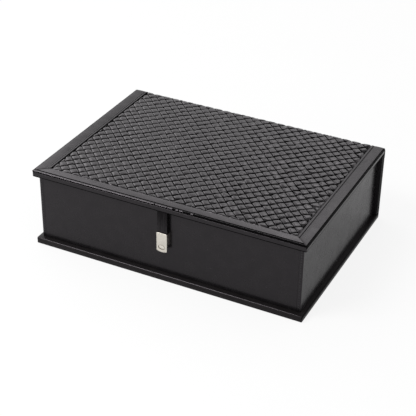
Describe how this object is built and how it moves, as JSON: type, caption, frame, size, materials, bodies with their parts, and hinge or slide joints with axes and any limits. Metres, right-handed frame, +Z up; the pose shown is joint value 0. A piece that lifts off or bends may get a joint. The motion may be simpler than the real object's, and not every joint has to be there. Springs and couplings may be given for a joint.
{
  "type": "document box",
  "caption": "Black leather document box with a woven lid between smooth mitred borders, a hide hinge at the back and a front strap with a metal end plate.",
  "frame": {"origin": "on the surface that the box stands on, under the middle of the box", "axes": "+X to the right as seen from the front, +Y to the back (the hinge side), +Z up; the front with the strap clasp faces -Y"},
  "size_m": [0.36, 0.26, 0.105],
  "materials": {
    "black_leather": "smooth, semi-gloss",
    "woven_leather": "plain diagonal weave of leather strips, semi-gloss",
    "strap_leather": "smooth with faint lengthwise lines",
    "grey_board": "matt pressed board",
    "lining": "charcoal suede cloth",
    "felt": "black felt",
    "satin_nickel": "warm satin nickel",
    "zinc_steel": "zinc plated",
    "plated_magnet": "nickel-plated magnet"
  },
  "bodies": {
    "box": {"base_underside": "felt", "base_leather": "black_leather", "base_board": "grey_board", "tray_floor_board": "grey_board", "tray_floor_lining": "lining", "tray_front_board": "grey_board", "tray_left_board": "grey_board", "tray_right_board": "grey_board", "tray_rear_board": "grey_board", "tray_front_leather": "black_leather", "tray_left_leather": "black_leather", "tray_right_leather": "black_leather", "tray_rear_leather": "black_leather", "tray_front_lining": "lining", "tray_left_lining": "lining", "tray_right_lining": "lining", "tray_rear_lining": "lining", "spine_board": "grey_board", "spine_inner_leather": "black_leather", "spine_woven_panel": "woven_leather", "spine_border_left": "black_leather", "spine_border_right": "black_leather", "hinge_leather": "black_leather", "catch_body": "satin_nickel", "catch_magnet": "plated_magnet", "catch_screw_lower": "satin_nickel", "catch_screw_upper": "satin_nickel", "catch_backing_plate": "zinc_steel"},
    "lid": {"lid_board": "grey_board", "lid_leather": "black_leather", "lid_lining": "lining", "lid_border_front": "black_leather", "lid_border_left": "black_leather", "lid_border_right": "black_leather", "lid_woven_panel": "woven_leather", "strap_anchor": "strap_leather", "anchor_tack_left": "zinc_steel", "anchor_tack_right": "zinc_steel"},
    "strap": {"strap": "strap_leather", "strap_end_plate": "satin_nickel", "strap_plate_stud": "satin_nickel", "strap_keeper": "zinc_steel"}
  },
  "joints": [
    {"name": "lid_hinge", "type": "hinge", "parent": "box", "child": "lid", "pos_m": [0, 0.1303, 0.09575], "axis": [-1, 0, 0], "range_deg": [0, 180], "deforming": ["hinge_leather"]},
    {"name": "strap_hinge", "type": "hinge", "parent": "lid", "child": "strap", "pos_m": [-0.002, -0.1282, 0.0955], "axis": [-1, 0, 0], "range_deg": [0, 90]}
  ]
}
